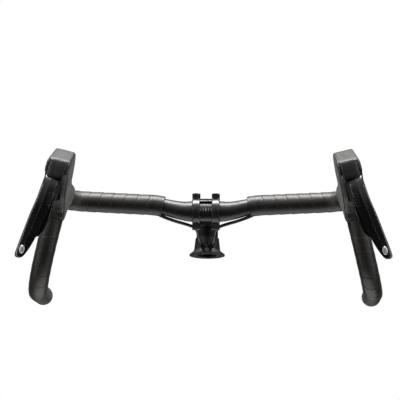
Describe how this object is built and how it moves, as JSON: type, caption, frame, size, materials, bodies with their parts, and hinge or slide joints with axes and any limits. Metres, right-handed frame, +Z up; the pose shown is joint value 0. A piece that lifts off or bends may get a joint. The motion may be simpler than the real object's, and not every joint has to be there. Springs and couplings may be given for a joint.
{
  "type": "drop handlebar",
  "caption": "Flared road drop handlebar with stem, spacers, hydraulic brake and shift levers, rubber hoods, wrapped tape and brake hoses.",
  "frame": {"origin": "centre of the stem's steerer clamp, on the steerer axis", "axes": "+X across the bar to the rider's left, -Y to the front of the bicycle, +Z straight up in riding attitude"},
  "size_m": [0.5508, 0.2956, 0.266],
  "materials": {
    "bar_paint": "satin",
    "stem_paint": "satin",
    "bolt_steel": "satin",
    "band_steel": "satin",
    "spacer_anodised": "satin",
    "carrier_alloy": "satin",
    "badge_silver": "satin",
    "tape_grip": "matte",
    "finish_tape": "satin",
    "hood_rubber": "matte",
    "hose_jacket": "satin",
    "cover_plastic": "matte",
    "plug_plastic": "matte",
    "bracket_plastic": "matte",
    "plate_plastic": "satin",
    "lever_gloss": "gloss",
    "paddle_gloss": "gloss"
  },
  "bodies": {
    "root": {"faceplate_bolts": "bolt_steel", "handlebar": "bar_paint", "headset_cover": "cover_plastic", "headset_spacer_tall": "spacer_anodised", "headset_spacer_thin": "spacer_anodised", "hose_grommets": "hood_rubber", "left_bar_tape": "tape_grip", "left_battery_hatch": "bracket_plastic", "left_bleed_screw": "bolt_steel", "left_bracket_body": "bracket_plastic", "left_brake_hose": "hose_jacket", "left_clamp_band": "band_steel", "left_clamp_bolt": "bolt_steel", "left_coin_cell": "band_steel", "left_end_plug": "plug_plastic", "left_finishing_tape": "finish_tape", "left_hood": "hood_rubber", "left_hose_fitting": "bolt_steel", "left_lever_pivot_pin": "band_steel", "left_name_plate": "plate_plastic", "left_reservoir_cover": "bracket_plastic", "left_return_spring": "band_steel", "right_bar_tape": "tape_grip", "right_battery_hatch": "bracket_plastic", "right_bleed_screw": "bolt_steel", "right_bracket_body": "bracket_plastic", "right_brake_hose": "hose_jacket", "right_clamp_band": "band_steel", "right_clamp_bolt": "bolt_steel", "right_coin_cell": "band_steel", "right_end_plug": "plug_plastic", "right_finishing_tape": "finish_tape", "right_hood": "hood_rubber", "right_hose_fitting": "bolt_steel", "right_lever_pivot_pin": "band_steel", "right_name_plate": "plate_plastic", "right_reservoir_cover": "bracket_plastic", "right_return_spring": "band_steel", "steerer_clamp_bolts": "bolt_steel", "stem_body": "stem_paint", "stem_faceplate": "stem_paint", "top_cap": "spacer_anodised", "top_cap_bolt": "bolt_steel"},
    "left_brake_lever": {"left_lever_carrier": "carrier_alloy", "left_lever_blade": "lever_gloss", "left_blade_badge": "badge_silver", "left_shift_pivot_pin": "band_steel"},
    "left_shift_lever": {"left_shift_paddle": "paddle_gloss"},
    "left_piston": {"left_master_piston": "carrier_alloy", "left_piston_seal": "hood_rubber"},
    "right_brake_lever": {"right_lever_carrier": "carrier_alloy", "right_lever_blade": "lever_gloss", "right_blade_badge": "badge_silver", "right_shift_pivot_pin": "band_steel"},
    "right_shift_lever": {"right_shift_paddle": "paddle_gloss"},
    "right_piston": {"right_master_piston": "carrier_alloy", "right_piston_seal": "hood_rubber"}
  },
  "joints": [
    {"name": "left_brake_pull", "type": "hinge", "parent": "root", "child": "left_brake_lever", "pos_m": [0.21026, -0.22275, 0.10272], "axis": [0.9703, 0.0585, 0.2347], "range_deg": [0, 18], "stiffness_Nm_per_rad": 0.8, "springref_deg": -17.19},
    {"name": "left_shift_push", "type": "hinge", "parent": "left_brake_lever", "child": "left_shift_lever", "pos_m": [0.2209, -0.23987, 0.06299], "axis": [0, 0.9703, -0.2419], "range_deg": [0, 8], "stiffness_Nm_per_rad": 0.3, "springref_deg": -11.46},
    {"name": "left_piston_slide", "type": "slide", "parent": "root", "child": "left_piston", "axis": [0, 0.9703, -0.2419], "range_m": [0, 0.00566], "deforming": ["left_return_spring"]},
    {"name": "right_brake_pull", "type": "hinge", "parent": "root", "child": "right_brake_lever", "pos_m": [-0.21026, -0.22275, 0.10272], "axis": [0.9703, -0.0585, -0.2347], "range_deg": [0, 18], "stiffness_Nm_per_rad": 0.8, "springref_deg": -17.19},
    {"name": "right_shift_push", "type": "hinge", "parent": "right_brake_lever", "child": "right_shift_lever", "pos_m": [-0.2209, -0.23987, 0.06299], "axis": [0, -0.9703, 0.2419], "range_deg": [0, 8], "stiffness_Nm_per_rad": 0.3, "springref_deg": -11.46},
    {"name": "right_piston_slide", "type": "slide", "parent": "root", "child": "right_piston", "axis": [0, 0.9703, -0.2419], "range_m": [0, 0.00566], "deforming": ["right_return_spring"]}
  ],
  "couplings": [
    {"joint": "left_piston_slide", "follows": "left_brake_pull", "m_per_rad": 0.018},
    {"joint": "right_piston_slide", "follows": "right_brake_pull", "m_per_rad": 0.018}
  ]
}
